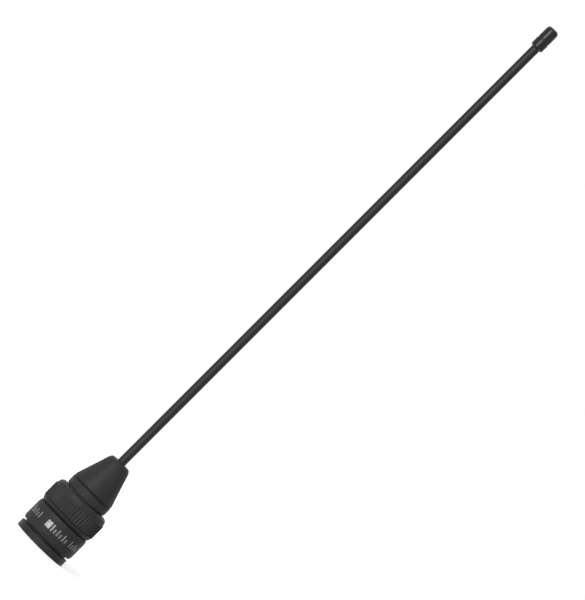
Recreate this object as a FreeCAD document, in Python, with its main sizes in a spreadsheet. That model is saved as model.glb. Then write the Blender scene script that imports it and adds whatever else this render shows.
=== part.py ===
# Quarter-wave whip antenna with a threaded coaxial plug, in millimetres.
# It stands on the rim of its coupling nut, with the long axis on +Z and the origin in the rim's centre.

import FreeCAD, Part

import math
import os
import re

import Sketcher

SHEET = "Sizes"
MATCH = 1e-4

SIZES = {
    # Plug, from its outer contact outwards and inwards
    "ContactRadius": 4.075,
    "ContactLeadIn": 0.3,
    "GasketLip": 0.175,
    "ContactWall": 0.5,
    "InsulatorLip": 0.15,
    "SleeveWall": 0.8,
    "LandWall": 0.9,
    "ThreadGap": 0.78,
    # Plug, along its axis
    "ContactSetback": 1.9,
    "ContactReach": 5.5,
    "ContactSeatDepth": 3.0,
    "SlotWidth": 0.4,
    "SlotStop": 0.3,
    "SlotCount": 4,
    "SlotTurn": 45.0,
    "GasketThickness": 1.0,
    "GasketInset": 0.05,
    # Running and fixed fits
    "RunFit": 0.05,
    "FixedFit": 0.02,
    "SideFit": 0.08,
    "NutFloat": 0.1,
    "Overcut": 0.05,
    # Coupling nut, inside
    "MouthClearance": 0.18,
    "MouthDepth": 1.3,
    "ThreadLength": 6.3,
    # Coupling nut, outside, from the rim upwards
    "RimWall": 1.42,
    "RimHeight": 1.65,
    "RimGrooveDepth": 0.8,
    "RimGrooveWidth": 0.7,
    "BandWall": 1.69,
    "BandHeight": 5.65,
    "BandBevelDrop": 0.18,
    "BandBevelHeight": 0.7,
    "NotchWidth": 0.3,
    "NotchDepth": 0.75,
    "KnurlWall": 1.97,
    "KnurlHeight": 3.5,
    "SkirtDrop": 0.5,
    "SkirtHeight": 1.15,
    "KnurlBevelHeight": 0.5,
    "ShoulderDrop": 0.3,
    "ShoulderTaper": 0.15,
    "ShoulderHeight": 0.65,
    "CrownDrop": 0.55,
    "CrownHeight": 0.5,
    "RibInset": 0.04,
    "RibDepth": 0.31,
    "RibFlare": 1.5,
    "RibCount": 54,
    # Split ring between body and nut
    "RingSetback": 3.6,
    "RingThickness": 0.7,
    "RingWidth": 0.8,
    "RingStandout": 0.45,
    "RingSplit": 35.0,
    # Collar and barrel of the body
    "CollarStep": 0.93,
    "CollarHeight": 2.55,
    "CollarBevel": 0.15,
    "CollarFootBevel": 0.45,
    "TubeWall": 1.05,
    "BarrelWall": 1.28,
    "BarrelHeight": 3.5,
    # Insulators and centre pin
    "InsulatorSetback": 0.3,
    "CavitySetback": 0.2,
    "FlangeOffset": 0.8,
    "WebThickness": 2.2,
    "BeadHeight": 3.2,
    "PinRadius": 0.675,
    "PinSetback": 0.5,
    "PinTaperHeight": 0.7,
    "PinTipRadius": 0.3,
    "PinShankStep": 0.2,
    "PinCollarStep": 0.55,
    "PinCollarHeight": 0.9,
    "StemRadius": 0.6,
    "StemInsert": 1.4,
    # Link and whip
    "JacketRadius": 1.08,
    "JacketWall": 0.41,
    "FerruleWall": 0.55,
    "FerruleStandout": 1.8,
    "FerruleWeb": 1.4,
    "FreeLength": 134.0,
    # Boot
    "BootStep": 0.03,
    "BootHeight": 9.25,
    "BootFootDrop": 0.1,
    "BootFootHeight": 0.35,
    "BootTopWall": 1.9,
    "BootCrownDrop": 0.55,
    "BootCrownHeight": 0.6,
    # Tip cap
    "CapWall": 0.52,
    "CapHeight": 6.1,
    "CapRoof": 2.2,
    "CapFootBevel": 0.2,
    "CapBevelDrop": 0.25,
    "CapBevelHeight": 0.45,
    "CapCrownDrop": 0.4,
    "CapCrownHeight": 0.25,
}

# Radii of the plug, from its contact outwards
CONTACT_ROOT = "ContactRadius - GasketLip"
LAND_RADIUS = f"{CONTACT_ROOT} + LandWall"
NUT_BORE = f"{LAND_RADIUS} + RunFit"
THREAD_RADIUS = f"{LAND_RADIUS} + ThreadGap"
MOUTH_RADIUS = f"{THREAD_RADIUS} + MouthClearance"
RING_RADIUS = f"{LAND_RADIUS} + RingStandout"
COLLAR_RADIUS = f"{LAND_RADIUS} + CollarStep"
BOOT_RADIUS = f"{COLLAR_RADIUS} - BootStep"

# Radii of the plug, from its contact inwards
BODY_BORE = f"{CONTACT_ROOT} - ContactWall"
CONTACT_BORE = f"{BODY_BORE} - InsulatorLip"
CAVITY_RADIUS = f"{CONTACT_BORE} - SleeveWall"
SHANK_RADIUS = "PinRadius + PinShankStep"
PIN_COLLAR_RADIUS = f"{SHANK_RADIUS} + PinCollarStep"

# Radii of the nut's outside
RIM_RADIUS = f"{THREAD_RADIUS} + RimWall"
RIM_GROOVE_FLOOR = f"{RIM_RADIUS} - RimGrooveDepth"
BAND_RADIUS = f"{THREAD_RADIUS} + BandWall"
BAND_EDGE = f"{BAND_RADIUS} - BandBevelDrop"
NOTCH_FLOOR = f"{BAND_RADIUS} - NotchDepth"
KNURL_RADIUS = f"{THREAD_RADIUS} + KnurlWall"
RIB_CREST = f"{KNURL_RADIUS} - RibInset"
RIB_FLOOR = f"{RIB_CREST} - RibDepth"
SKIRT_RADIUS = f"{KNURL_RADIUS} - SkirtDrop"
SHOULDER_RADIUS = f"{KNURL_RADIUS} - ShoulderDrop"
CROWN_RADIUS = f"{SHOULDER_RADIUS} - ShoulderTaper"

# Radii of the whip, from its wire outwards
WIRE_BORE = "JacketRadius - JacketWall"
WIRE_RADIUS = f"{WIRE_BORE} - FixedFit"
FERRULE_RADIUS = f"{WIRE_RADIUS} + FerruleWall"
BARREL_BORE = f"{FERRULE_RADIUS} + TubeWall"
BARREL_RADIUS = f"{BARREL_BORE} + BarrelWall"
BOOT_TOP_RADIUS = "JacketRadius + BootTopWall"
CAP_RADIUS = "JacketRadius + CapWall"
CAP_CROWN_RADIUS = f"{CAP_RADIUS} - CapBevelDrop"

# Heights of the nut's steps, from the rim upwards
RIM_GROOVE_TOP = "RimHeight + RimGrooveWidth"
BAND_TOP = f"{RIM_GROOVE_TOP} + BandHeight"
NOTCH_TOP = f"{BAND_TOP} + NotchWidth"
KNURL_BASE = f"{NOTCH_TOP} + SkirtHeight"
KNURL_TOP = f"{KNURL_BASE} + KnurlHeight"
SHOULDER_BASE = f"{KNURL_TOP} + KnurlBevelHeight"
CROWN_BASE = f"{SHOULDER_BASE} + ShoulderHeight"
NUT_TOP = f"{CROWN_BASE} + CrownHeight"
THREAD_TOP = "MouthDepth + ThreadLength"

# Heights of the plug's front end
PLUG_FACE = "ContactSetback + ContactReach"
GASKET_BASE = f"{PLUG_FACE} - GasketThickness"
CONTACT_TOP = f"{PLUG_FACE} + ContactSeatDepth"
SLEEVE_FACE = "ContactSetback + InsulatorSetback"
CAVITY_FLOOR = f"{PLUG_FACE} - CavitySetback"
FLANGE_BASE = f"{CAVITY_FLOOR} + FlangeOffset"
SLEEVE_TOP = f"{CAVITY_FLOOR} + WebThickness"
PIN_COLLAR_BASE = f"{SLEEVE_TOP} - PinCollarHeight"
BEAD_TOP = f"{SLEEVE_TOP} + BeadHeight"
PIN_TIP = "ContactSetback + PinSetback"

# Heights of the ring, the collar and the barrel behind the nut
RING_BASE = f"{PLUG_FACE} + RingSetback"
RING_TOP = f"{RING_BASE} + RingThickness"
COLLAR_BASE = f"{NUT_TOP} + NutFloat"
COLLAR_TOP = f"{COLLAR_BASE} + CollarHeight"
BARREL_TOP = f"{COLLAR_TOP} + BarrelHeight"

# Heights of the boot, the link and the whip
BOOT_TOP = f"{COLLAR_TOP} + BootHeight"
BOOT_CROWN_BASE = f"{BOOT_TOP} - BootCrownHeight"
STEM_TOP = f"{BEAD_TOP} + StemInsert"
WIRE_BASE = f"{STEM_TOP} + FerruleWeb"
FERRULE_TOP = f"{BARREL_TOP} + FerruleStandout"
CAP_BASE = f"{BOOT_TOP} + FreeLength"
CAP_TOP = f"{CAP_BASE} + CapHeight"
WIRE_TOP = f"{CAP_TOP} - CapRoof"
CAP_CROWN_BASE = f"{CAP_TOP} - CapCrownHeight"

doc = FreeCAD.newDocument("Antenna")
sheet = doc.addObject("Spreadsheet::Sheet", SHEET)
for row, (alias, number) in enumerate(SIZES.items(), 1):
    sheet.set(f"A{row}", alias)
    sheet.set(f"B{row}", str(number))
    sheet.setAlias(f"B{row}", alias)
doc.recompute()


def bound(text):
    """Put the sheet's name before each alias in an expression."""
    return re.sub(r"[A-Z]\w+", rf"{SHEET}.\g<0>", text)


def size(text):
    """Work out an expression of sizes."""
    return float(sheet.evalExpression(bound(text)))


def new_body(label):
    """Start a sub-part whose label names its file."""
    body = doc.addObject("PartDesign::Body", label)
    body.Label = label
    return body


def plane_sketch(body, name, role, height="0"):
    """Lay a sketch on one of the body's own planes, raised to a height."""
    sketch = body.newObject("Sketcher::SketchObject", name)
    plane = next(item for item in body.Origin.OriginFeatures if item.Role == role)
    sketch.AttachmentSupport = (plane, [""])
    sketch.MapMode = "FlatFace"
    if height != "0":
        sketch.setExpression("AttachmentOffset.Base.z", bound(height))
    return sketch


def pin_point(sketch, line, across, along):
    """Hold the start of a line at two distances from the sketch's origin."""
    for kind, axis, value in (("DistanceX", -2, across), ("DistanceY", -1, along)):
        if value == "0":
            sketch.addConstraint(Sketcher.Constraint("PointOnObject", line, 1, axis))
            continue
        datum = Sketcher.Constraint(kind, -1, 1, line, 1, size(value))
        index = sketch.addConstraint(datum)
        sketch.renameConstraint(index, f"{kind}{line}")
        sketch.setExpression(f"Constraints.{kind}{line}", bound(value))


def close_outline(sketch, corners):
    """Join corners, each a pair of expressions, into a closed outline of straight lines."""
    places = [FreeCAD.Vector(size(across), size(along), 0) for across, along in corners]
    for start, end in zip(places, places[1:] + places[:1]):
        sketch.addGeometry(Part.LineSegment(start, end), False)
    for line, (across, along) in enumerate(corners):
        following = (line + 1) % len(corners)
        sketch.addConstraint(Sketcher.Constraint("Coincident", line, 2, following, 1))
        pin_point(sketch, line, across, along)


def turn(body, name, corners, angle=None):
    """Turn an outline of radii and heights about the long axis."""
    sketch = plane_sketch(body, f"{name}Outline", "XZ_Plane")
    close_outline(sketch, corners)
    solid = body.newObject("PartDesign::Revolution", name)
    solid.Profile = sketch
    solid.ReferenceAxis = (sketch, ["V_Axis"])
    if angle:
        solid.setExpression("Angle", bound(angle))
    doc.recompute()
    body.Tip = solid
    return solid


def edges_at(shape, stations):
    """Name the circular edges that lie at the given radii and heights."""
    wanted = [(size(radius), size(height)) for radius, height in stations]
    names = []
    for index, edge in enumerate(shape.Edges, 1):
        if not isinstance(edge.Curve, Part.Circle):
            continue
        found = (edge.Curve.Radius, edge.Curve.Center.z)
        if any(math.dist(found, place) < MATCH for place in wanted):
            names.append(f"Edge{index}")
    return names


def bevel(body, name, width, stations):
    """Bevel the circular edges at the given radii and heights."""
    base = body.Tip
    chamfer = body.newObject("PartDesign::Chamfer", name)
    chamfer.Base = (base, edges_at(base.Shape, stations))
    chamfer.setExpression("Size", bound(width))
    doc.recompute()
    body.Tip = chamfer
    return chamfer


def repeat_round(body, name, kind, corners, base, depth, count, first="0"):
    """Add or cut a prism upwards from a height and repeat it round the long axis."""
    sketch = plane_sketch(body, f"{name}Outline", "XY_Plane", base)
    close_outline(sketch, corners)
    if first != "0":
        sketch.setExpression("AttachmentOffset.Rotation.Angle", bound(first))
    prism = body.newObject(f"PartDesign::{kind}", name)
    prism.Profile = sketch
    prism.Reversed = kind == "Pocket"
    prism.setExpression("Length", bound(depth))
    doc.recompute()
    ring = body.newObject("PartDesign::PolarPattern", f"{name}Round")
    ring.Originals = [prism]
    ring.Axis = (sketch, ["N_Axis"])
    ring.Angle = 360
    ring.setExpression("Occurrences", bound(count))
    body.Tip = ring
    doc.recompute()
    return ring


def coupling_nut():
    """Turned nut: rim, groove, band, notch, knurl and crown outside, mouth and thread wall inside."""
    body = new_body("coupling_nut")
    turn(body, "NutTurned", [
        (MOUTH_RADIUS, "0"),
        (RIM_RADIUS, "0"),
        (RIM_RADIUS, "RimHeight"),
        (RIM_GROOVE_FLOOR, "RimHeight"),
        (RIM_GROOVE_FLOOR, RIM_GROOVE_TOP),
        (BAND_EDGE, RIM_GROOVE_TOP),
        (BAND_RADIUS, f"{RIM_GROOVE_TOP} + BandBevelHeight"),
        (BAND_RADIUS, f"{BAND_TOP} - BandBevelHeight"),
        (BAND_EDGE, BAND_TOP),
        (NOTCH_FLOOR, f"{BAND_TOP} + NotchWidth / 2"),
        (SKIRT_RADIUS, NOTCH_TOP),
        (KNURL_RADIUS, KNURL_BASE),
        (RIB_FLOOR, KNURL_BASE),
        (RIB_FLOOR, KNURL_TOP),
        (KNURL_RADIUS, KNURL_TOP),
        (SHOULDER_RADIUS, SHOULDER_BASE),
        (CROWN_RADIUS, CROWN_BASE),
        (f"{CROWN_RADIUS} - CrownDrop", NUT_TOP),
        (NUT_BORE, NUT_TOP),
        (NUT_BORE, f"{RING_TOP} + SideFit"),
        (f"{RING_RADIUS} + RunFit", f"{RING_TOP} + SideFit"),
        (f"{RING_RADIUS} + RunFit", f"{RING_BASE} - SideFit"),
        (NUT_BORE, f"{RING_BASE} - SideFit"),
        (NUT_BORE, THREAD_TOP),
        (THREAD_RADIUS, THREAD_TOP),
        (THREAD_RADIUS, "MouthDepth"),
        (MOUTH_RADIUS, "MouthDepth - MouthClearance"),
    ])
    foot = "RibFlare * (RibDepth + Overcut)"
    repeat_round(body, "Rib", "Pad", [
        (f"{RIB_FLOOR} - Overcut", f"-({foot})"),
        (RIB_CREST, "0"),
        (f"{RIB_FLOOR} - Overcut", foot),
    ], KNURL_BASE, "KnurlHeight", "RibCount")
    return body


def connector_body():
    """Turned body: land for the nut, ring groove, collar and barrel."""
    body = new_body("connector_body")
    turn(body, "BodyTurned", [
        (f"{CONTACT_ROOT} + FixedFit", PLUG_FACE),
        (LAND_RADIUS, PLUG_FACE),
        (LAND_RADIUS, RING_BASE),
        (f"{LAND_RADIUS} - RingWidth", RING_BASE),
        (f"{LAND_RADIUS} - RingWidth", f"{RING_TOP} + SideFit"),
        (LAND_RADIUS, f"{RING_TOP} + SideFit"),
        (LAND_RADIUS, COLLAR_BASE),
        (COLLAR_RADIUS, COLLAR_BASE),
        (COLLAR_RADIUS, COLLAR_TOP),
        (BARREL_RADIUS, COLLAR_TOP),
        (BARREL_RADIUS, BARREL_TOP),
        (BARREL_BORE, BARREL_TOP),
        (BARREL_BORE, BEAD_TOP),
        (BODY_BORE, BEAD_TOP),
        (BODY_BORE, CONTACT_TOP),
        (f"{CONTACT_ROOT} + FixedFit", CONTACT_TOP),
    ])
    bevel(body, "CollarBevelled", "CollarBevel", [(COLLAR_RADIUS, COLLAR_TOP)])
    bevel(body, "CollarFootBevelled", "CollarFootBevel", [(COLLAR_RADIUS, COLLAR_BASE)])
    return body


def outer_contact():
    """Slotted spring sleeve: outer lip for the gasket, inner lip for the insulator."""
    body = new_body("outer_contact")
    turn(body, "ContactTurned", [
        (CONTACT_BORE, "ContactSetback"),
        ("ContactRadius", "ContactSetback"),
        ("ContactRadius", GASKET_BASE),
        (CONTACT_ROOT, GASKET_BASE),
        (CONTACT_ROOT, CONTACT_TOP),
        (BODY_BORE, CONTACT_TOP),
        (BODY_BORE, FLANGE_BASE),
        (CONTACT_BORE, FLANGE_BASE),
    ])
    bevel(body, "ContactLeadInBevel", "ContactLeadIn", [("ContactRadius", "ContactSetback")])
    reach = f"({GASKET_BASE}) - ContactSetback - SlotStop"
    repeat_round(body, "Slot", "Pocket", [
        ("0", "-SlotWidth / 2"),
        ("ContactRadius + Overcut", "-SlotWidth / 2"),
        ("ContactRadius + Overcut", "SlotWidth / 2"),
        ("0", "SlotWidth / 2"),
    ], "ContactSetback", reach, "SlotCount", "SlotTurn")
    return body


def face_gasket():
    """Soft ring round the contact's root, between its lip and the body's face."""
    body = new_body("face_gasket")
    turn(body, "GasketRing", [
        (f"{CONTACT_ROOT} + FixedFit", GASKET_BASE),
        (f"{LAND_RADIUS} - GasketInset", GASKET_BASE),
        (f"{LAND_RADIUS} - GasketInset", PLUG_FACE),
        (f"{CONTACT_ROOT} + FixedFit", PLUG_FACE),
    ])
    return body


def retaining_ring():
    """Split ring, sprung out into the nut's groove and resting on the lower wall of the body's."""
    body = new_body("retaining_ring")
    turn(body, "SplitRing", [
        (f"{RING_RADIUS} - RingWidth", RING_BASE),
        (RING_RADIUS, RING_BASE),
        (RING_RADIUS, RING_TOP),
        (f"{RING_RADIUS} - RingWidth", RING_TOP),
    ], "360 - RingSplit")
    return body


def front_insulator():
    """Sleeve that lines the contact, open to the front, with a flange behind the contact's lip."""
    body = new_body("front_insulator")
    turn(body, "SleeveTurned", [
        (CAVITY_RADIUS, SLEEVE_FACE),
        (f"{CONTACT_BORE} - FixedFit", SLEEVE_FACE),
        (f"{CONTACT_BORE} - FixedFit", FLANGE_BASE),
        (f"{BODY_BORE} - FixedFit", FLANGE_BASE),
        (f"{BODY_BORE} - FixedFit", SLEEVE_TOP),
        (f"{PIN_COLLAR_RADIUS} + FixedFit", SLEEVE_TOP),
        (f"{PIN_COLLAR_RADIUS} + FixedFit", PIN_COLLAR_BASE),
        (f"{SHANK_RADIUS} + FixedFit", PIN_COLLAR_BASE),
        (f"{SHANK_RADIUS} + FixedFit", CAVITY_FLOOR),
        (CAVITY_RADIUS, CAVITY_FLOOR),
    ])
    return body


def centre_pin():
    """Pin with a tapered nose, a shank, a collar held between the insulators and a stem."""
    body = new_body("centre_pin")
    turn(body, "PinTurned", [
        ("0", PIN_TIP),
        ("PinTipRadius", PIN_TIP),
        ("PinRadius", f"{PIN_TIP} + PinTaperHeight"),
        ("PinRadius", CAVITY_FLOOR),
        (SHANK_RADIUS, CAVITY_FLOOR),
        (SHANK_RADIUS, PIN_COLLAR_BASE),
        (PIN_COLLAR_RADIUS, PIN_COLLAR_BASE),
        (PIN_COLLAR_RADIUS, SLEEVE_TOP),
        ("StemRadius", SLEEVE_TOP),
        ("StemRadius", STEM_TOP),
        ("0", STEM_TOP),
    ])
    return body


def rear_insulator():
    """Bead against the body's inner shoulder, with a tube round the link."""
    body = new_body("rear_insulator")
    turn(body, "BeadTurned", [
        ("StemRadius + FixedFit", SLEEVE_TOP),
        (f"{BODY_BORE} - FixedFit", SLEEVE_TOP),
        (f"{BODY_BORE} - FixedFit", BEAD_TOP),
        (f"{BARREL_BORE} - FixedFit", BEAD_TOP),
        (f"{BARREL_BORE} - FixedFit", BARREL_TOP),
        (f"{FERRULE_RADIUS} + FixedFit", BARREL_TOP),
        (f"{FERRULE_RADIUS} + FixedFit", BEAD_TOP),
        ("StemRadius + FixedFit", BEAD_TOP),
    ])
    return body


def whip_ferrule():
    """Turned link, bored from below for the pin's stem and from above for the wire."""
    body = new_body("whip_ferrule")
    turn(body, "FerruleTurned", [
        ("StemRadius + FixedFit", BEAD_TOP),
        (FERRULE_RADIUS, BEAD_TOP),
        (FERRULE_RADIUS, FERRULE_TOP),
        (WIRE_BORE, FERRULE_TOP),
        (WIRE_BORE, WIRE_BASE),
        ("0", WIRE_BASE),
        ("0", STEM_TOP),
        ("StemRadius + FixedFit", STEM_TOP),
    ])
    return body


def whip_wire():
    """Straight spring wire from the link to the cap."""
    wire = doc.addObject("Part::Cylinder", "whip_wire")
    wire.Label = "whip_wire"
    wire.setExpression("Radius", bound(WIRE_RADIUS))
    wire.setExpression("Height", bound(f"({WIRE_TOP}) - ({WIRE_BASE})"))
    wire.setExpression("Placement.Base.z", bound(WIRE_BASE))
    return wire


def whip_jacket():
    """Plastic tube over the wire, from the link's top to the cap's roof."""
    body = new_body("whip_jacket")
    turn(body, "JacketTube", [
        (WIRE_BORE, FERRULE_TOP),
        ("JacketRadius", FERRULE_TOP),
        ("JacketRadius", WIRE_TOP),
        (WIRE_BORE, WIRE_TOP),
    ])
    return body


def base_boot():
    """Moulded cone on the collar, over the barrel and closed round the whip."""
    body = new_body("base_boot")
    turn(body, "BootMoulded", [
        (f"{BARREL_RADIUS} + FixedFit", COLLAR_TOP),
        (f"{BOOT_RADIUS} - BootFootDrop", COLLAR_TOP),
        (BOOT_RADIUS, f"{COLLAR_TOP} + BootFootHeight"),
        (BOOT_TOP_RADIUS, BOOT_CROWN_BASE),
        (f"{BOOT_TOP_RADIUS} - BootCrownDrop", BOOT_TOP),
        ("JacketRadius + FixedFit", BOOT_TOP),
        ("JacketRadius + FixedFit", FERRULE_TOP),
        (f"{FERRULE_RADIUS} + FixedFit", FERRULE_TOP),
        (f"{FERRULE_RADIUS} + FixedFit", BARREL_TOP),
        (f"{BARREL_RADIUS} + FixedFit", BARREL_TOP),
    ])
    return body


def tip_cap():
    """Blind cap with a bevelled foot and a rounded crown."""
    body = new_body("tip_cap")
    turn(body, "CapMoulded", [
        ("JacketRadius + FixedFit", CAP_BASE),
        (f"{CAP_RADIUS} - CapFootBevel", CAP_BASE),
        (CAP_RADIUS, f"{CAP_BASE} + CapFootBevel"),
        (CAP_RADIUS, f"{CAP_CROWN_BASE} - CapBevelHeight"),
        (CAP_CROWN_RADIUS, CAP_CROWN_BASE),
        (f"{CAP_CROWN_RADIUS} - CapCrownDrop", CAP_TOP),
        ("0", CAP_TOP),
        ("0", WIRE_TOP),
        ("JacketRadius + FixedFit", WIRE_TOP),
    ])
    return body


SUBPARTS = [
    coupling_nut(),
    connector_body(),
    outer_contact(),
    face_gasket(),
    retaining_ring(),
    front_insulator(),
    centre_pin(),
    rear_insulator(),
    whip_ferrule(),
    whip_wire(),
    whip_jacket(),
    base_boot(),
    tip_cap(),
]
doc.recompute()

for item in doc.Objects:
    if {"Invalid", "Error"} & set(item.State):
        raise RuntimeError(f"{item.Label} failed: {item.State}")
for item in SUBPARTS:
    if item.Shape.isNull() or not item.Shape.isValid():
        raise RuntimeError(f"{item.Label} has no sound shape")

os.makedirs("parts", exist_ok=True)
for item in SUBPARTS:
    item.Shape.exportStep(f"parts/{item.Label}.step")
    print(item.Label, round(item.Shape.Volume, 3), len(item.Shape.Solids))
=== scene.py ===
"""Looks of a short black whip antenna on a threaded coaxial plug, in metres on the frame's axes."""
import logging
import math
from dataclasses import dataclass
from enum import Enum
from typing import NamedTuple

import bmesh
import bpy
from mathutils import Matrix, Vector


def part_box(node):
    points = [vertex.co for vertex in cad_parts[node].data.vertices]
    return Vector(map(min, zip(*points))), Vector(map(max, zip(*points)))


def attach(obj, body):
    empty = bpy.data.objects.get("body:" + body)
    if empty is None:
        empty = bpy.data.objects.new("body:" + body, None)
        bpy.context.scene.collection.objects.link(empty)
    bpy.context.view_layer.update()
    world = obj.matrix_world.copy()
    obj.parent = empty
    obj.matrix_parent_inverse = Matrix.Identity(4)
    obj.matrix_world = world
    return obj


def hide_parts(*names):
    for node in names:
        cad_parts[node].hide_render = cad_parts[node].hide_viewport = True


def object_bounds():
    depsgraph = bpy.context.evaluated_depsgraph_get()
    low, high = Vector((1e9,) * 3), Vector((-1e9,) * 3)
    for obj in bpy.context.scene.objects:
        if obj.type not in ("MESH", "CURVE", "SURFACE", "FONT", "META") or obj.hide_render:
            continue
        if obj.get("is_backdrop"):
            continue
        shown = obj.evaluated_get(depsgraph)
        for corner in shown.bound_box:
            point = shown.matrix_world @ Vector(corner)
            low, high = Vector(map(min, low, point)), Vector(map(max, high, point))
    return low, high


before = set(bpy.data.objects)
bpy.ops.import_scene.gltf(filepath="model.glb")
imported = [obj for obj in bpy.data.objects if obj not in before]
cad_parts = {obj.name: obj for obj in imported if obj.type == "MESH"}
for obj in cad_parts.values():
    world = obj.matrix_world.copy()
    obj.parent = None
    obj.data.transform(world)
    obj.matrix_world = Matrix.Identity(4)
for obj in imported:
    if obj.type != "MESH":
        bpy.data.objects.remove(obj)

log = logging.getLogger("antenna")
MM = 0.001
MICRON = 0.001 * MM
Socket = bpy.types.NodeSocket
Tree = bpy.types.NodeTree
# The two ends of a range, or two sizes that belong together.
Span = tuple[float, float]
# Values between which most of a noise pattern lies.
BULK: Span = (0.3, 0.7)
# A share that is full at the first end of a range and gone at the other.
FALLING: Span = (1.0, 0.0)


class Body(Enum):
    """The two bodies that pieces ride on."""

    ANTENNA = "antenna"
    NUT = "nut"


class Slot(Enum):
    """Material slots of the record, by name. The script doesn't use them."""

    BLACK_PLATED_BRASS = "black_plated_brass"
    BOOT_PLASTIC = "boot_plastic"
    CAP_PLASTIC = "cap_plastic"


class Lay(Enum):
    """How the fine marks of a metal's making lie: rings from the lathe, or lines along the drawn wire."""

    TURNED = "turned"
    DRAWN = "drawn"


def linear(colour: str) -> tuple[float, float, float, float]:
    """Turn a written sRGB colour into linear light.

    Args:
        colour: Six hex digits after a hash.

    Returns:
        Red, green, blue and an alpha of one.
    """
    parts = [int(colour[start:start + 2], 16) / 255 for start in (1, 3, 5)]
    light = [part / 12.92 if part <= 0.04045 else ((part + 0.055) / 1.055) ** 2.4 for part in parts]
    return (light[0], light[1], light[2], 1.0)


def per_mm(length: float) -> float:
    """Give the scale that makes one period of a pattern as long as a length in millimetres."""
    return 1 / (length * MM)


def mapped(span: Span, to: Span = (0.0, 1.0), unit: float = 1.0) -> dict[str, float]:
    """Give the inputs that map one range of values to another.

    Args:
        span: The values at the two ends of the first range.
        to: What they turn into.
        unit: What the first values are multiplied by, such as MM for lengths in millimetres.

    Returns:
        The inputs, by name.
    """
    return {"From Min": span[0] * unit, "From Max": span[1] * unit, "To Min": to[0], "To Max": to[1]}


def add_node(tree: Tree, kind: str, inputs: dict[str | int, object] | None = None,
             **settings: object) -> bpy.types.ShaderNode:
    """Add a node, set it and fill its inputs.

    Args:
        tree: The node tree that gets the node.
        kind: The node's type, without its ShaderNode prefix.
        inputs: A value or another node's output for each input, by name or by place.
        settings: Properties of the node itself.

    Returns:
        The new node.
    """
    node = tree.nodes.new(f"ShaderNode{kind}")
    for name, value in settings.items():
        setattr(node, name, value)
    for key, value in (inputs or {}).items():
        if isinstance(value, Socket):
            tree.links.new(value, node.inputs[key])
        else:
            node.inputs[key].default_value = value
    return node


class Skin(NamedTuple):
    """A material in the making: its node tree, the shader that it feeds, and the object's own coordinates."""

    tree: Tree
    shader: bpy.types.ShaderNode
    here: Socket

    def feed(self, colour: Socket, roughness: Socket, normal: Socket) -> None:
        """Link to the shader what a finish has made for it.

        Args:
            colour: The colour.
            roughness: The roughness.
            normal: The normal.
        """
        for name, value in {"Base Color": colour, "Roughness": roughness, "Normal": normal}.items():
            self.tree.links.new(value, self.shader.inputs[name])


def drawn_out(skin: Skin, across: float, along: float, detail: float = 2.0) -> Socket:
    """Make a pattern of marks that have one length across the long axis and another along it.

    Args:
        skin: The material in the making.
        across: Length of the marks across the axis, in millimetres.
        along: Their length along it.
        detail: How many finer layers the pattern has.

    Returns:
        The pattern.
    """
    stretch = (per_mm(across), per_mm(across), per_mm(along))
    placed = add_node(skin.tree, "Mapping", {"Vector": skin.here, "Scale": stretch}).outputs["Vector"]
    return add_node(skin.tree, "TexNoise", {"Vector": placed, "Scale": 1.0, "Detail": detail}).outputs["Fac"]


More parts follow.
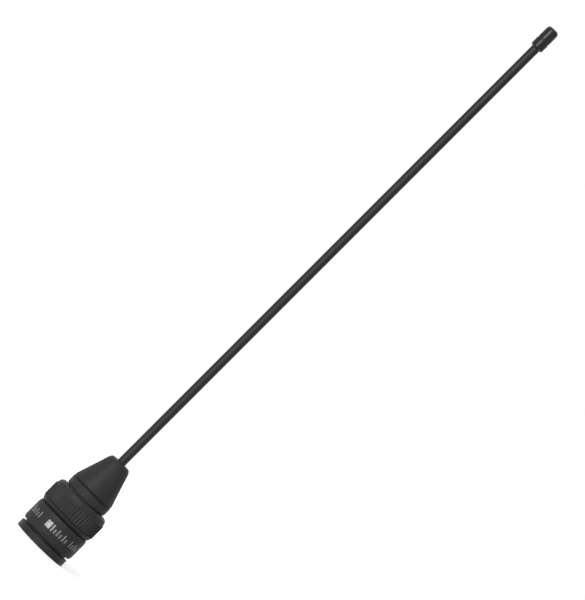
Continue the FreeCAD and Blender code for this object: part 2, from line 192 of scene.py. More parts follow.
@dataclass(frozen=True)
class Finish:
    """What every finish has: a name, colours, a gloss and worn edges. All lengths are in millimetres.

    Attributes:
        name: The material's name.
        colour: The main colour.
        cloud: The colour that it drifts to in patches.
        worn: The colour that rubbed edges turn to.
        roughness: The middle of its roughness.
        specular: The strength of its plain reflection, 0.5 being that of a common resin.
        rounding: Radius to which edges look broken.
        drift: Values of its pattern between which the colour drifts.
        most: Share of the cloud colour where it has drifted furthest.
        spread: How much smoother and how much rougher than the middle it gets.
        lean: Cosine of an edge's lean where the rubbing is full, and where it ends.
        hands: Size of the patches in which hands rub the edges.
        handled: Values of their pattern between which the rubbing rises.
        spared: Share of the rubbing that the edges get elsewhere.
    """

    name: str
    colour: str
    cloud: str
    worn: str
    roughness: float
    specular: float = 0.5
    rounding: float = 0.1
    drift: Span = BULK
    most: float = 1.0
    spread: Span = (0.05, 0.07)
    lean: Span = (0.85, 0.99)
    hands: float = 1.2
    handled: Span = (0.4, 0.65)
    spared: float = 0.1

    def make(self) -> bpy.types.Material:
        """Build the material.

        Returns:
            The material, ready for a piece's slots.
        """
        material = bpy.data.materials.new(self.name)
        material.use_nodes = True
        tree = material.node_tree
        tree.nodes.clear()
        shader = add_node(tree, "BsdfPrincipled", {"Roughness": self.roughness,
                                                   "Specular IOR Level": self.specular,
                                                   "Base Color": linear(self.colour)})
        add_node(tree, "OutputMaterial", {"Surface": shader.outputs["BSDF"]})
        self.pattern(Skin(tree, shader, add_node(tree, "TexCoord").outputs["Object"]))
        return material

    def pattern(self, skin: Skin) -> None:
        """Add what varies over the surface. Each finish has its own.

        Args:
            Build the sub-assemblies in order, then the studio, with the floor under the object's lowest
            point.
        """
        raise NotImplementedError

    def tinted(self, tree: Tree, shade: Socket) -> tuple[Socket, Socket]:
        """Let the colour drift with a pattern.

        Args:
            tree: The node tree.
            shade: The pattern.

        Returns:
            How far the colour has drifted, and the colour there.
        """
        ends = mapped(self.drift, (0.0, self.most))
        share = add_node(tree, "MapRange", {"Value": shade, **ends}).outputs["Result"]
        tone = add_node(tree, "Mix", {0: share, 6: linear(self.colour), 7: linear(self.cloud)},
                        data_type="RGBA").outputs[2]
        return share, tone

    def gloss(self, tree: Tree, shade: Socket, span: Span = (0.0, 1.0)) -> Socket:
        """Let the roughness follow a pattern.

        Args:
            tree: The node tree.
            shade: The pattern.
            span: Values of the pattern where the surface is smoothest and where it is roughest.

        Returns:
            The roughness.
        """
        ends = mapped(span, (self.roughness - self.spread[0], self.roughness + self.spread[1]))
        return add_node(tree, "MapRange", {"Value": shade, **ends}).outputs["Result"]

    def rubbed(self, skin: Skin, tone: Socket) -> tuple[Socket, Socket]:
        """Break the edges and rub some of them to the worn colour.

        Args:
            skin: The material in the making.
            tone: The colour of the surface so far.

        Returns:
            The colour with its worn edges, and the normal with its edges broken.
        """
        tree = skin.tree
        broken = add_node(tree, "Bevel", {"Radius": self.rounding * MM}, samples=6).outputs["Normal"]
        flat = add_node(tree, "NewGeometry").outputs["Normal"]
        apart = add_node(tree, "VectorMath", {0: broken, 1: flat}, operation="DOT_PRODUCT").outputs["Value"]
        edge = add_node(tree, "MapRange", {"Value": apart, **mapped(self.lean, FALLING)}).outputs["Result"]
        touch = add_node(tree, "TexNoise", {"Vector": skin.here, "Scale": per_mm(self.hands),
                                            "Detail": 4.0}).outputs["Fac"]
        patch = add_node(tree, "MapRange", {"Value": touch,
                                            **mapped(self.handled, (self.spared, 1.0))}).outputs["Result"]
        share = add_node(tree, "Math", {0: edge, 1: patch}, operation="MULTIPLY").outputs["Value"]
        worn = add_node(tree, "Mix", {0: share, 6: tone, 7: linear(self.worn)}, data_type="RGBA").outputs[2]
        return worn, broken


@dataclass(frozen=True)
class BlackLacquer(Finish):
    """Black electrophoretic lacquer over plated brass, on turned parts.

    The eye gets a satin black, a little uneven, in which the lathe's rings still show faintly. Its grooves
    get painted shade, blacker towards the rim and at the collar's top, and painted light, a lighter grey, in
    the knurl and the gap behind the nut. Three fine lines are painted dark as painted shade over shallow bump
    grooves. The edges are rubbed to a dark grey, and the rim, which is set down on things, is buffed to a
    softer gloss.

    Attributes:
        painted_shade: The dark colour painted into the grooves and the fine lines as painted shade.
        thin: The lighter colour painted into the grooves of the knurl and the gap behind the nut, as painted
            light.
        reach: How far from a wall the painted shade and painted light of the grooves start.
        clear: Open share of the surroundings where a groove's colour is full, and where it ends.
        shade_to_light_heights: Heights between which the grooves go over from painted shade to painted light.
        seam_shade_heights: Heights on the collar between which they go back to painted shade.
        lines: Height of each fine line of painted shade, and half its width.
        core: Share of that half that is filled to the full.
        line_depth: Depth of the lines.
        rim: Height up to which the rim is buffed, and where that ends.
        buffed: How much smoother it is.
        patch: Size of the clouds.
        ring_pitch: Distance of the lathe's rings. The real 0.1 mm is too fine to show, so it is coarser.
        ring_length: Length of a ring's even stretches.
        ring_depth: Depth of the rings.
        grit: Size of the lacquer's own grain.
        grit_depth: Depth of the grain.
    """

    painted_shade: str = "#141414"
    thin: str = "#4a4a49"
    reach: float = 0.8
    clear: Span = (0.3, 0.8)
    shade_to_light_heights: Span = (9.3, 11.0)
    seam_shade_heights: Span = (16.65, 16.95)
    lines: tuple[Span, ...] = ((8.47, 0.18), (9.33, 0.19), (17.0, 0.24))
    core: float = 0.4
    line_depth: float = 0.02
    rim: Span = (1.7, 1.8)
    buffed: float = 0.1
    patch: float = 2.5
    ring_pitch: float = 0.5
    ring_length: float = 30.0
    ring_depth: float = 0.025
    grit: float = 0.3
    grit_depth: float = 0.012

    def painted_groove_shading(self, tree: Tree, height: Socket, worn: Socket) -> Socket:
        """Paint shade into the grooves near the rim and at the collar's top, and paint light into the grooves
        above, in the knurl and the gap behind the nut.

        Args:
            tree: The node tree.
            height: Height on the part.
            worn: The colour of the open surface.

        Returns:
            The colour of the film.
        """
        # Painted shade and light: where the surroundings are closed, the grooves take a darker or a lighter
        # colour by height.
        sky = add_node(tree, "AmbientOcclusion", {"Distance": self.reach * MM}, samples=8).outputs["AO"]
        clear = add_node(tree, "MapRange", {"Value": sky, **mapped(self.clear)}).outputs["Result"]
        up = add_node(tree, "MapRange", {"Value": height, **mapped(self.shade_to_light_heights, unit=MM)}).outputs["Result"]
        below = add_node(tree, "MapRange", {"Value": height,
                                            **mapped(self.seam_shade_heights, FALLING, MM)}).outputs["Result"]
        gap = add_node(tree, "Math", {0: up, 1: below}, operation="MULTIPLY").outputs["Value"]
        painted_groove_colour = add_node(tree, "Mix", {0: gap, 6: linear(self.painted_shade), 7: linear(self.thin)},
                        data_type="RGBA").outputs[2]
        return add_node(tree, "Mix", {0: clear, 6: painted_groove_colour, 7: worn}, data_type="RGBA").outputs[2]

    def painted_shade_lines(self, tree: Tree, height: Socket, film: Socket, normal: Socket) -> tuple[Socket, Socket]:
        """Paint the fine lines dark as painted shade, each over a shallow bump groove.

        Args:
            tree: The node tree.
            height: Height on the part.
            film: The colour of the film so far.
            normal: The normal so far.

        Returns:
            The colour and the normal, with the lines.
        """
        for middle, half in self.lines:
            off = add_node(tree, "Math", {0: height, 1: middle * MM}, operation="SUBTRACT").outputs["Value"]
            apart = add_node(tree, "Math", {0: off}, operation="ABSOLUTE").outputs["Value"]
            ends = mapped((half * self.core, half), unit=MM)
            beside = add_node(tree, "MapRange", {"Value": apart, **ends}).outputs["Result"]
            # Painted shade: the middle of each line takes the dark colour.
            film = add_node(tree, "Mix", {0: beside, 6: linear(self.painted_shade), 7: film},
                            data_type="RGBA").outputs[2]
            normal = add_node(tree, "Bump", {"Height": beside, "Distance": self.line_depth * MM,
                                             "Strength": 0.5, "Normal": normal}).outputs["Normal"]
        return film, normal

    def pattern(self, skin: Skin) -> None:
        """Add clouds, painted shade and light in the grooves, painted shade lines, the lathe's rings, grain
        and rubbed edges.

        Args:
            skin: The material in the making.
        """
        tree, _, here = skin
        clouds = add_node(tree, "TexNoise", {"Vector": here, "Scale": per_mm(self.patch),
                                             "Detail": 3.0}).outputs["Fac"]
        share, tone = self.tinted(tree, clouds)
        worn, broken = self.rubbed(skin, tone)
        height = add_node(tree, "SeparateXYZ", {"Vector": here}).outputs["Z"]
        # The grooves get painted shade and painted light, and the fine lines painted shade.
        film, lined = self.painted_shade_lines(tree, height, self.painted_groove_shading(tree, height, worn), broken)
        gloss = self.gloss(tree, share)
        set_down = add_node(tree, "MapRange", {"Value": height,
                                               **mapped(self.rim, (self.buffed, 0.0), MM)}).outputs["Result"]
        smooth = add_node(tree, "Math", {0: gloss, 1: set_down}, operation="SUBTRACT").outputs["Value"]
        rings = drawn_out(skin, self.ring_length, self.ring_pitch)
        turned = add_node(tree, "Bump", {"Height": rings, "Distance": self.ring_depth * MM, "Strength": 0.8,
                                         "Normal": lined}).outputs["Normal"]
        grain = add_node(tree, "TexNoise", {"Vector": here, "Scale": per_mm(self.grit)}).outputs["Fac"]
        rough = add_node(tree, "Bump", {"Height": grain, "Distance": self.grit_depth * MM, "Strength": 0.8,
                                        "Normal": turned}).outputs["Normal"]
        skin.feed(film, smooth, rough)


@dataclass(frozen=True)
class MouldedNylon(Finish):
    """Black nylon from a spark-eroded mould.

    The eye gets a soft black with a fine even grain, a faint seam on two sides where the mould's
    halves met, and small flow marks in its gloss. Its corners get painted shade, a blacker colour where
    little light reaches.

    Attributes:
        painted_corner_shade: The colour painted into its corners as painted shade.
        reach: How far from a corner the painted shade starts.
        clear: Open share of the surroundings where a corner's colour is full, and where it ends.
        grain: Size of the eroded grain. The real 0.1 mm is too fine to show, so it is coarser.
        grain_depth: Depth of the grain.
        flow: Width of the flow marks, and their length along the axis.
        seam: Width of the seam from its middle, and its height.
        seam_crest: Share of that width that is at the full height.
    """

    painted_corner_shade: str = "#0c0c0c"
    reach: float = 0.5
    clear: Span = (0.5, 0.95)
    grain: float = 0.35
    grain_depth: float = 0.025
    flow: Span = (3.0, 7.0)
    seam: Span = (0.12, 0.02)
    seam_crest: float = 0.3

    def pattern(self, skin: Skin) -> None:
        """Add flow marks, painted shade in the corners, the seam, grain and rubbed edges.

        Args:
            skin: The material in the making.
        """
        tree, _, here = skin
        share, tone = self.tinted(tree, drawn_out(skin, *self.flow, detail=3.0))
        worn, broken = self.rubbed(skin, tone)
        # Painted shade: where the surroundings are closed, the corners take a darker colour.
        sky = add_node(tree, "AmbientOcclusion", {"Distance": self.reach * MM}, samples=8).outputs["AO"]
        clear = add_node(tree, "MapRange", {"Value": sky, **mapped(self.clear)}).outputs["Result"]
        black = add_node(tree, "Mix", {0: clear, 6: linear(self.painted_corner_shade), 7: worn},
                         data_type="RGBA").outputs[2]
        gloss = self.gloss(tree, share)
        aside = add_node(tree, "SeparateXYZ", {"Vector": here}).outputs["Y"]
        apart = add_node(tree, "Math", {0: aside}, operation="ABSOLUTE").outputs["Value"]
        wide, high = self.seam
        ends = mapped((wide * self.seam_crest, wide), FALLING, MM)
        ridge = add_node(tree, "MapRange", {"Value": apart, **ends}).outputs["Result"]
        ridged = add_node(tree, "Bump", {"Height": ridge, "Distance": high * MM, "Strength": 0.5,
                                         "Normal": broken}).outputs["Normal"]
        grains = add_node(tree, "TexNoise", {"Vector": here, "Scale": per_mm(self.grain), "Detail": 3.0,
                                             "Roughness": 0.6}).outputs["Fac"]
        rough = add_node(tree, "Bump", {"Height": grains, "Distance": self.grain_depth * MM, "Strength": 0.7,
                                        "Normal": ridged}).outputs["Normal"]
        skin.feed(black, gloss, rough)


@dataclass(frozen=True)
class ExtrudedPolyurethane(Finish):
    """Black polyurethane, extruded over the wire.

    The eye gets a soft gloss drawn out lengthwise by the die, with faint streaks along the whip.

    Attributes:
        streak: Width of the streaks, and their length. The die's own lines are a few hundredths wide,
            so these are coarser.
        streak_depth: Depth of the streaks.
        stretch: Width and length of the stretches over which the gloss changes.
    """

    streak: Span = (0.4, 18.0)
    streak_depth: float = 0.01
    stretch: Span = (6.0, 22.0)

    def pattern(self, skin: Skin) -> None:
        """Add the die's streaks, rubbed edges and a slow change of gloss along the length.

        Args:
            skin: The material in the making.
        """
        tree = skin.tree
        streaks = drawn_out(skin, *self.streak)
        worn, broken = self.rubbed(skin, self.tinted(tree, streaks)[1])
        slow = drawn_out(skin, *self.stretch)
        gloss = self.gloss(tree, slow, BULK)
        lined = add_node(tree, "Bump", {"Height": streaks, "Distance": self.streak_depth * MM,
                                        "Strength": 0.5, "Normal": broken}).outputs["Normal"]
        skin.feed(worn, gloss, lined)


@dataclass(frozen=True)
class GlossyVinyl(Finish):
    """Black vinyl of the dip-moulded tip cap.

    The eye gets the shiniest part of the antenna, slightly wavy, with fine dust pits in its gloss.

    Attributes:
        wave: Length of the waves that dipping leaves.
        wave_depth: Depth of the waves.
        pit: Size of the pits. Real ones are under 0.1 mm and don't show, so these are coarser.
    """

    wave: float = 2.0
    wave_depth: float = 0.03
    pit: float = 0.25

    def pattern(self, skin: Skin) -> None:
        """Add soft waves, pits and rubbed edges.

        Args:
            skin: The material in the making.
        """
        tree, _, here = skin
        waves = add_node(tree, "TexNoise", {"Vector": here, "Scale": per_mm(self.wave),
                                            "Detail": 1.0}).outputs["Fac"]
        worn, broken = self.rubbed(skin, self.tinted(tree, waves)[1])
        pits = add_node(tree, "TexNoise", {"Vector": here, "Scale": per_mm(self.pit),
                                           "Detail": 3.0}).outputs["Fac"]
        gloss = self.gloss(tree, pits, BULK)
        wavy = add_node(tree, "Bump", {"Height": waves, "Distance": self.wave_depth * MM, "Strength": 0.6,
                                       "Normal": broken}).outputs["Normal"]
        skin.feed(worn, gloss, wavy)


@dataclass(frozen=True)
class WorkedMetal(Finish):
    """Bare or plated metal from the lathe or the drawing die.

    The eye gets the metal's own colour in its reflections, broken by fine lines round the axis on
    turned parts and along it on drawn wire, and a cloudier tone where it has tarnished.

    Attributes:
        drift: Values of its pattern between which the colour drifts.
        most: Share of the cloud colour where it has drifted furthest.
        spread: How much smoother and how much rougher than the middle it gets.
        lay: Which way the tool's lines lie.
        pitch: Distance of the lines. They are under 0.1 mm apart on the real part, so these are coarser.
        line_length: Length of a line's even stretches.
        line_depth: Depth of the lines.
        patch: Size of the tarnished patches.
    """

    drift: Span = (0.45, 0.75)
    most: float = 0.55
    spread: Span = (0.06, 0.12)
    lay: Lay = Lay.TURNED
    pitch: float = 0.25
    line_length: float = 20.0
    line_depth: float = 0.008
    patch: float = 1.5

    def pattern(self, skin: Skin) -> None:
        """Add the tool's lines, tarnish and bright edges.

        Args:
            skin: The material in the making.
        """
        tree, shader, here = skin
        shader.inputs["Metallic"].default_value = 1.0
        clouds = add_node(tree, "TexNoise", {"Vector": here, "Scale": per_mm(self.patch),
                                             "Detail": 4.0}).outputs["Fac"]
        worn, broken = self.rubbed(skin, self.tinted(tree, clouds)[1])
        gloss = self.gloss(tree, clouds, BULK)
        across, along = {Lay.TURNED: (self.line_length, self.pitch),
                         Lay.DRAWN: (self.pitch, self.line_length)}[self.lay]
        lines = drawn_out(skin, across, along)
        lined = add_node(tree, "Bump", {"Height": lines, "Distance": self.line_depth * MM, "Strength": 0.5,
                                        "Normal": broken}).outputs["Normal"]
        skin.feed(worn, gloss, lined)


@dataclass(frozen=True)
class Fluoropolymer(Finish):
    """White turned PTFE of the insulators.

    The eye gets a waxy white that light enters a little, with the soft rings that a tool leaves in it.

    Attributes:
        entering: Share of the light that enters.
        depth: How far it enters.
        ring_pitch: Distance of the tool's rings. The real feed is too fine to show, so it is coarser.
        ring_length: Length of a ring's even stretches.
        ring_depth: Depth of the rings.
        mark: Size of the handling marks.
    """

    entering: float = 0.25
    depth: float = 0.4
    ring_pitch: float = 0.3
    ring_length: float = 20.0
    ring_depth: float = 0.01
    mark: float = 0.9

    def pattern(self, skin: Skin) -> None:
        """Add handling marks, tool rings and rubbed edges, and let light in a little.

        Args:
            skin: The material in the making.
        """
        tree, shader, here = skin
        shader.inputs["Subsurface Weight"].default_value = self.entering
        shader.inputs["Subsurface Scale"].default_value = self.depth * MM
        marks = add_node(tree, "TexNoise", {"Vector": here, "Scale": per_mm(self.mark),
                                            "Detail": 4.0}).outputs["Fac"]
        share, tone = self.tinted(tree, marks)
        worn, broken = self.rubbed(skin, tone)
        gloss = self.gloss(tree, share)
        rings = drawn_out(skin, self.ring_length, self.ring_pitch)
        ringed = add_node(tree, "Bump", {"Height": rings, "Distance": self.ring_depth * MM, "Strength": 0.5,
                                         "Normal": broken}).outputs["Normal"]
        skin.feed(worn, gloss, ringed)


@dataclass(frozen=True)
class SiliconeRubber(Finish):
    """Cut silicone rubber of the face gasket.

    The eye gets a matt brick red with a dusty bloom and a fine cut grain.

    Attributes:
        grain: Size of the cut grain.
        grain_depth: Depth of the grain.
        bloom: Size of the dusty patches.
    """

    grain: float = 0.2
    grain_depth: float = 0.015
    bloom: float = 1.4

    def pattern(self, skin: Skin) -> None:
        """Add the bloom, the cut grain and rubbed edges.

        Args:
            skin: The material in the making.
        """
        tree, _, here = skin
        dust = add_node(tree, "TexNoise", {"Vector": here, "Scale": per_mm(self.bloom),
                                           "Detail": 4.0}).outputs["Fac"]
        share, tone = self.tinted(tree, dust)
        worn, broken = self.rubbed(skin, tone)
        gloss = self.gloss(tree, share)
        grains = add_node(tree, "TexNoise", {"Vector": here, "Scale": per_mm(self.grain), "Detail": 3.0,
                                             "Roughness": 0.6}).outputs["Fac"]
        cut = add_node(tree, "Bump", {"Height": grains, "Distance": self.grain_depth * MM, "Strength": 0.6,
                                      "Normal": broken}).outputs["Normal"]
        skin.feed(worn, gloss, cut)


@dataclass(frozen=True)
class SilverInk(Finish):
    """Silver pad-printed ink of the index marks.

    The eye gets a thin film of metal flakes, bright where it throws the lamp back and dull elsewhere,
    with pinholes through which the black shows. The worn colour is that of the pinholes.

    Attributes:
        flakes: How metallic the film is.
        pinhole: Size of the pinholes.
        pricked: Values of their pattern between which a pinhole opens.
        hole_depth: Depth of the pinholes.
        film: Size of the thin patches.
    """

    flakes: float = 0.85
    pinhole: float = 0.18
    pricked: Span = (0.66, 0.76)
    hole_depth: float = 0.01
    film: float = 0.9

    def pattern(self, skin: Skin) -> None:
        """Add thin patches and pinholes.

        Args:
            skin: The material in the making.
        """
        tree, shader, here = skin
        shader.inputs["Metallic"].default_value = self.flakes
        thin = add_node(tree, "TexNoise", {"Vector": here, "Scale": per_mm(self.film),
                                           "Detail": 3.0}).outputs["Fac"]
        share, tone = self.tinted(tree, thin)
        specks = add_node(tree, "TexNoise", {"Vector": here, "Scale": per_mm(self.pinhole)}).outputs["Fac"]
        holes = add_node(tree, "MapRange", {"Value": specks, **mapped(self.pricked)}).outputs["Result"]
        inked = add_node(tree, "Mix", {0: holes, 6: tone, 7: linear(self.worn)}, data_type="RGBA").outputs[2]
        gloss = self.gloss(tree, share)
        pitted = add_node(tree, "Bump", {"Height": specks, "Distance": self.hole_depth * MM,
                                         "Strength": 0.4}).outputs["Normal"]
        skin.feed(inked, gloss, pitted)


LACQUER = BlackLacquer("black_lacquered_brass", "#282828", "#2e2e2e", "#4d4c4a",
                       roughness=0.52, specular=0.11, rounding=0.12)
NYLON = MouldedNylon("black_moulded_nylon", "#242424", "#292929", "#303030",
                     roughness=0.56, specular=0.14, rounding=0.1, spread=(0.04, 0.06))
POLYURETHANE = ExtrudedPolyurethane("black_extruded_polyurethane", "#0c0c0d", "#121213", "#1e1e1e",
                                    roughness=0.49, specular=0.27, rounding=0.05, spread=(0.05, 0.06))
VINYL = GlossyVinyl("black_glossy_vinyl", "#060607", "#0b0b0c", "#1a1a1b",
                    roughness=0.3, specular=0.27, rounding=0.05, spread=(0.03, 0.08))
WHITE_BRONZE = WorkedMetal("plated_white_bronze", "#d8d6cf", "#8f8a7c", "#f0efe9", roughness=0.24)
GOLD = WorkedMetal("plated_gold", "#e6b95a", "#a87a35", "#f7dc96", roughness=0.2)
SPRING_BRONZE = WorkedMetal("bare_spring_bronze", "#c08a58", "#6f4a2c", "#e3b588", roughness=0.3)
BRASS = WorkedMetal("turned_brass", "#cfae68", "#85683a", "#ecd79c", roughness=0.28)
SPRING_STEEL = WorkedMetal("drawn_spring_steel", "#a8a9ac", "#6d6a66", "#cfd0d2", roughness=0.3,
                           lay=Lay.DRAWN)
PTFE = Fluoropolymer("turned_fluoropolymer", "#efefec", "#dcdad2", "#f6f6f3", roughness=0.4,
                     specular=0.4, rounding=0.08, drift=(0.5, 0.75), spread=(0.05, 0.1))
SILICONE = SiliconeRubber("cut_silicone_rubber", "#7a3a30", "#9a6a60", "#8d4c42", roughness=0.75,
                          specular=0.4, rounding=0.1, drift=(0.45, 0.7), most=0.6, spread=(0.05, 0.1))
INK = SilverInk("silver_pad_ink", "#7a7b7b", "#686969", "#2a2a2a", roughness=0.32, spread=(0.06, 0.1))


def dress(node: str, material: bpy.types.Material) -> None:
    """Give a carried-over node its finish.

    Args:
        node: The node's name in the frame.
        material: The finish that covers it.
    """
    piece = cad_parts[node]
    piece.data.materials.clear()
    piece.data.materials.append(material)
    log.info("dressed %s in %s", node, material.name)


def put(name: str, data: bpy.types.ID) -> bpy.types.Object:
    """Make an object and put it in the scene.

    Args:
        name: The object's name.
        data: Its mesh, or the data of a lamp or a camera.

    Returns:
        The new object.
    """
    thing = bpy.data.objects.new(name, data)
    bpy.context.scene.collection.objects.link(thing)
    return thing


def to_object(mesh: bmesh.types.BMesh, name: str, material: bpy.types.Material, body: Body,
              smooth: bool = True) -> bpy.types.Object:
    """Turn a finished bmesh into a piece that rides on a body.

    Args:
        mesh: The shape, in place. It is freed.
        name: The piece's name.
        material: The finish that covers it.
        body: The body that carries it.
        smooth: Whether its faces are shaded smooth.

    Returns:
        The new object.
    """
    bmesh.ops.recalc_face_normals(mesh, faces=mesh.faces)
    for face in mesh.faces:
        face.smooth = smooth
    data = bpy.data.meshes.new(name)
    mesh.to_mesh(data)
    mesh.free()
    data.materials.append(material)
    piece = put(name, data)
    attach(piece, body.value)
    log.info("built %s: %d faces on %s", name, len(data.polygons), body.value)
    return piece


def revolve(corners: list[tuple[float, float, float]], steps: int = 96, arc: int = 4) -> bmesh.types.BMesh:
    """Round the corners of an outline and turn it about the long axis.

    Args:
        corners: Radius and height of each corner in order, and how far from it its rounding starts.
        steps: Flats in a full turn.
        arc: Flats in a rounded corner.

    Returns:
        The closed shape.
    """
    mesh = bmesh.new()
    verts = [mesh.verts.new((radius, 0, height)) for radius, height, _ in corners]
    mesh.faces.new(verts)
    for vert, (_, _, rounding) in zip(verts, corners):
        if rounding:
            bmesh.ops.bevel(mesh, geom=[vert], offset=rounding, offset_type="OFFSET", affect="VERTICES",
                            segments=arc, profile=0.5, material=-1)
    bmesh.ops.delete(mesh, geom=mesh.faces[:], context="FACES_ONLY")
    # An edge on the axis turns on the spot and makes no face.
    axis = [edge for edge in mesh.edges if all(abs(vert.co.x) < MICRON for vert in edge.verts)]
    bmesh.ops.delete(mesh, geom=axis, context="EDGES")
    bmesh.ops.spin(mesh, geom=mesh.verts[:] + mesh.edges[:], cent=(0, 0, 0), axis=(0, 0, 1), angle=math.tau,
                   steps=steps, use_merge=True)
    bmesh.ops.remove_doubles(mesh, verts=mesh.verts, dist=MICRON)
    return mesh


@dataclass
class CouplingNut:
    """The knurled nut: its real thread, its index scale and its finish.

    Attributes:
        root: Radius at the thread's root, which is the wall of the node.
        crest: Radius at the thread's crest.
        pitch: Pitch of the 28 threads to the inch.
        crest_flat: Width of the crest, along the axis.
        root_flat: Width of the ridge at its root, along the axis.
        start: Height at which the thread starts.
        stop: Height at which it runs out.
        steps: Sections in each turn.
        run_out: Share of a turn over which the ridge fades out at each end.
        band_radius: Radius of the band that carries the marks.
        scale_foot: Height of the foot of the scale's marks.
        tall: Height of a tall mark.
        short: Height of a short mark.
        pitch_round: Distance round the band from one mark to the next.
        block: Where the scale's datum block is, as an arc from the front, and its width.
        groups: Where each group of marks starts, as such an arc, how many it has, and their width.
        film: Thickness of the ink.
    """

    root: float = 5.6 * MM
    crest: float = 5.12 * MM
    pitch: float = 0.907 * MM
    crest_flat: float = 0.14 * MM
    root_flat: float = 0.74 * MM
    start: float = 1.75 * MM
    stop: float = 6.55 * MM
    steps: int = 72
    run_out: float = 0.35
    band_radius: float = 7.27 * MM
    scale_foot: float = 4.57 * MM
    tall: float = 1.7 * MM
    short: float = 1.1 * MM
    pitch_round: float = 0.86 * MM
    block: Span = (-1.85 * MM, 1.4 * MM)
    groups: tuple[tuple[float, int, float], ...] = (
        (-8.5 * MM, 5, 0.4 * MM),
        (-0.5 * MM, 4, 0.42 * MM),
        (3.05 * MM, 2, 0.4 * MM),
        (5.5 * MM, 5, 0.26 * MM),
    )
    film: float = 0.02 * MM

    def thread(self, material: bpy.types.Material) -> None:
        """Build the right-handed thread as one ridge round the nut's wall.

        Args:
            material: The nut's finish.
        """
        mesh = bmesh.new()
        corners = [(self.root, -self.root_flat / 2), (self.crest, -self.crest_flat / 2),
                   (self.crest, self.crest_flat / 2), (self.root, self.root_flat / 2)]
        section = [mesh.verts.new((radius, 0, self.start + rise)) for radius, rise in corners]
        face = mesh.faces.new(section)
        turns = (self.stop - self.start) / self.pitch
        count = round(turns * self.steps)
        bmesh.ops.spin(mesh, geom=[face, *face.edges, *face.verts], cent=(0, 0, 0), axis=(0, 0, 1),
                       dvec=(0, 0, self.pitch / self.steps), angle=math.tau * count / self.steps,
                       steps=count, use_merge=False)
        # Only the crest moves: it fades into the wall where the thread starts and stops.
        for vert in mesh.verts:
            radius = math.hypot(vert.co.x, vert.co.y)
            if radius > (self.root + self.crest) / 2:
                continue
            turned = (vert.co.z - self.start) / self.pitch
            share = max(0.0, min(1.0, turned / self.run_out, (turns - turned) / self.run_out))
            wanted = self.root + (self.crest - self.root) * share
            vert.co.x *= wanted / radius
            vert.co.y *= wanted / radius
        to_object(mesh, "nut_thread", material, Body.NUT, smooth=False)

    def marks(self, material: bpy.types.Material) -> None:
        """Print a plain index scale on the band: a datum block, and groups of tall and short marks in turn.

        Args:
            material: The ink.
        """
        radius = self.band_radius + self.film / 2
        marks = [(*self.block, self.tall)]
        for first, count, wide in self.groups:
            marks += [(first + place * self.pitch_round, wide, self.short if place % 2 else self.tall)
                      for place in range(count)]
        mesh = bmesh.new()
        # A grid of size 0.5 is one unit wide and high about its middle, and is stretched to each mark.
        for middle, wide, tall in marks:
            for vert in bmesh.ops.create_grid(mesh, x_segments=4, y_segments=2, size=0.5)["verts"]:
                turn = (middle + vert.co.x * wide) / radius
                vert.co = Vector((math.sin(turn) * radius, -math.cos(turn) * radius,
                                  self.scale_foot + (vert.co.y + 0.5) * tall))
        bmesh.ops.solidify(mesh, geom=mesh.faces[:], thickness=self.film)
        to_object(mesh, "nut_index_marks", material, Body.NUT, smooth=False)

    def build(self) -> None:
        """Dress the nut and the body that it turns on, and add its thread and marks."""
        lacquer = LACQUER.make()
        dress("coupling_nut", lacquer)
        dress("connector_body", lacquer)
        self.thread(lacquer)
        self.marks(INK.make())


@dataclass
class PlugInside:
    """What stands inside the nut: contacts, insulators, gasket and ring.

    Attributes:
        insulators: Nodes of the two insulators.
    """

    insulators: tuple[str, ...] = ("front_insulator", "rear_insulator")

    def build(self) -> None:
        """Dress the plug's inner pieces."""
        dress("outer_contact", WHITE_BRONZE.make())
        dress("centre_pin", GOLD.make())
        dress("retaining_ring", SPRING_BRONZE.make())
        dress("face_gasket", SILICONE.make())
        ptfe = PTFE.make()
        for node in self.insulators:
            dress(node, ptfe)


@dataclass
class Boot:
    """The moulded cone, with rounded edges and a small lip round the whip.

    Attributes:
        foot_drop: How much its foot is turned in, and over what height.
        neck_radius: Radius where the crown starts.
        crown_radius: Radius of the flat on its top.
        crown_rise: Height of the crown.
        lip: Radius of the lip round the whip, and how far it stands up.
        rounds: How far from its corner each rounding starts: at foot, flank, neck, crown and lip.
        barrel: Radius of its socket for the body's barrel, and how far that reaches from the foot.
        link: Radius of its socket for the whip's link, and how far that reaches from the foot.
        bore: Radius of its hole for the whip.
    """

    foot_drop: Span = (0.18 * MM, 0.32 * MM)
    neck_radius: float = 2.98 * MM
    crown_radius: float = 2.43 * MM
    crown_rise: float = 0.6 * MM
    lip: Span = (1.3 * MM, 0.08 * MM)
    rounds: tuple[float, float, float, float, float] = (0.12 * MM, 0.3 * MM, 0.45 * MM, 0.3 * MM, 0.06 * MM)
    barrel: Span = (3.55 * MM, 3.5 * MM)
    link: Span = (1.22 * MM, 5.3 * MM)
    bore: float = 1.1 * MM

    def build(self) -> None:
        """Build the cone and let it stand for its node."""
        low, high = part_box("base_boot")
        foot, top, radius = low.z, high.z, high.x
        drop, land = self.foot_drop
        lip, stand = self.lip
        barrel, link = foot + self.barrel[1], foot + self.link[1]
        foot_round, flank_round, neck_round, crown_round, lip_round = self.rounds
        outline = [
            (self.barrel[0], foot, 0),
            (radius - drop, foot, foot_round),
            (radius, foot + land, flank_round),
            (self.neck_radius, top - self.crown_rise, neck_round),
            (self.crown_radius, top, crown_round),
            (lip + stand, top, stand),
            (lip, top + stand, lip_round),
            (self.bore, top + stand, 0),
            (self.bore, link, 0),
            (self.link[0], link, 0),
            (self.link[0], barrel, 0),
            (self.barrel[0], barrel, 0),
        ]
        nylon = NYLON.make()
        dress("base_boot", nylon)
        cone = to_object(revolve(outline), "boot_cone", nylon, Body.ANTENNA)
        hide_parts("base_boot")


